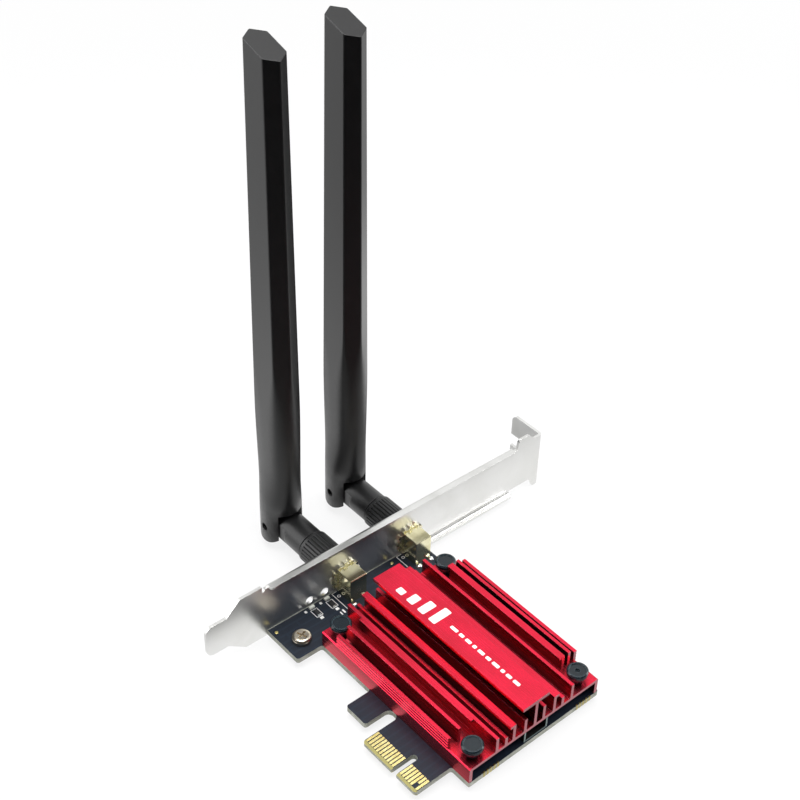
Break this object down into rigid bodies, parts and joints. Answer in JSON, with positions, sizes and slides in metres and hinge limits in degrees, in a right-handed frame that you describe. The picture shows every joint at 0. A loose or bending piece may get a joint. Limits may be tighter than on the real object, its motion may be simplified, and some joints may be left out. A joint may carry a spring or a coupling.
{
  "type": "pcie wifi card",
  "caption": "Wireless network card with an edge-connector board, finned red heat sink, folded slot bracket and tilting, swivelling stick aerials.",
  "frame": {"origin": "middle of the key notch on the contact edge of the board, halfway through the board's thickness", "axes": "+X along the board away from the bracket, +Y from the gold contacts towards the bracket's screw flange, +Z out of the component side, the way the aerials point at rest"},
  "size_m": [0.108, 0.12, 0.1553],
  "materials": {
    "board_lacquer": "very dark blue-black solder lacquer",
    "module_lacquer": "dark green solder lacquer",
    "gold_plating": "gold plated",
    "jack_brass": "pale plated brass",
    "bright_nickel": "bright nickel on folded steel sheet",
    "black_nickel": "black nickel on steel",
    "shield_steel": "dull tinned steel",
    "pin_steel": "dark steel",
    "red_anodised": "red anodised",
    "thermal_rubber": "soft grey",
    "rivet_plastic": "dark slate nylon",
    "socket_plastic": "black moulded",
    "header_plastic": "pale grey moulded",
    "lead_jacket": "black lead jacket",
    "chip_epoxy": "black epoxy",
    "ceramic_chip": "tan ceramic",
    "lamp_lens": "milky lens",
    "solder": "bright solder",
    "white_insulator": "white fluoropolymer",
    "aerial_plastic": "satin black"
  },
  "bodies": {
    "card": {"circuit_board": "board_lacquer", "contacts_top": "gold_plating", "contacts_bottom": "gold_plating", "edge_pads": "gold_plating", "bracket": "bright_nickel", "board_screw": "black_nickel", "heat_sink": "red_anodised", "thermal_pad": "thermal_rubber", "rivet_sleeves": "rivet_plastic", "rivet_plungers": "rivet_plastic", "module_board": "module_lacquer", "module_shield": "shield_steel", "module_socket": "socket_plastic", "module_standoff": "shield_steel", "module_screw": "black_nickel", "module_receptacles": "gold_plating", "board_receptacles": "gold_plating", "coaxial_leads": "lead_jacket", "header_shroud": "header_plastic", "header_pins": "gold_plating", "regulator_chip": "chip_epoxy", "power_inductor": "chip_epoxy", "chip_capacitors": "ceramic_chip", "status_lamps": "lamp_lens", "chip_resistors": "chip_epoxy", "lock_washers": "gold_plating", "jack_nuts": "gold_plating", "solder_joints": "solder", "jack_body_1": "jack_brass", "jack_insulator_1": "white_insulator", "jack_contact_1": "gold_plating", "jack_body_2": "jack_brass", "jack_insulator_2": "white_insulator", "jack_contact_2": "gold_plating"},
    "coupling_1": {"coupling_nut_1": "aerial_plastic", "coupling_insert_1": "jack_brass"},
    "swivel_1": {"plug_body_1": "jack_brass", "plug_insulator_1": "white_insulator", "plug_pin_1": "gold_plating", "aerial_base_1": "aerial_plastic"},
    "stick_1": {"pivot_pin_1": "pin_steel", "aerial_blade_1": "aerial_plastic", "radiator_1": "module_lacquer"},
    "coupling_2": {"coupling_nut_2": "aerial_plastic", "coupling_insert_2": "jack_brass"},
    "swivel_2": {"plug_body_2": "jack_brass", "plug_insulator_2": "white_insulator", "plug_pin_2": "gold_plating", "aerial_base_2": "aerial_plastic"},
    "stick_2": {"pivot_pin_2": "pin_steel", "aerial_blade_2": "aerial_plastic", "radiator_2": "module_lacquer"}
  },
  "joints": [
    {"name": "coupling_turn_1", "type": "hinge", "parent": "card", "child": "coupling_1", "pos_m": [-0.0665, 0.02965, 0.0053], "axis": [1, 0, 0], "continuous": true},
    {"name": "swivel_turn_1", "type": "hinge", "parent": "card", "child": "swivel_1", "pos_m": [-0.0765, 0.02965, 0.0053], "axis": [1, 0, 0], "range_deg": [0, 180]},
    {"name": "aerial_tilt_1", "type": "hinge", "parent": "swivel_1", "child": "stick_1", "pos_m": [-0.0864, 0.02965, 0.0053], "axis": [0, -1, 0], "range_deg": [0, 90]},
    {"name": "coupling_turn_2", "type": "hinge", "parent": "card", "child": "coupling_2", "pos_m": [-0.0665, 0.05285, 0.0053], "axis": [1, 0, 0], "continuous": true},
    {"name": "swivel_turn_2", "type": "hinge", "parent": "card", "child": "swivel_2", "pos_m": [-0.0765, 0.05285, 0.0053], "axis": [-1, 0, 0], "range_deg": [0, 180]},
    {"name": "aerial_tilt_2", "type": "hinge", "parent": "swivel_2", "child": "stick_2", "pos_m": [-0.0864, 0.05285, 0.0053], "axis": [0, -1, 0], "range_deg": [0, 90]}
  ]
}
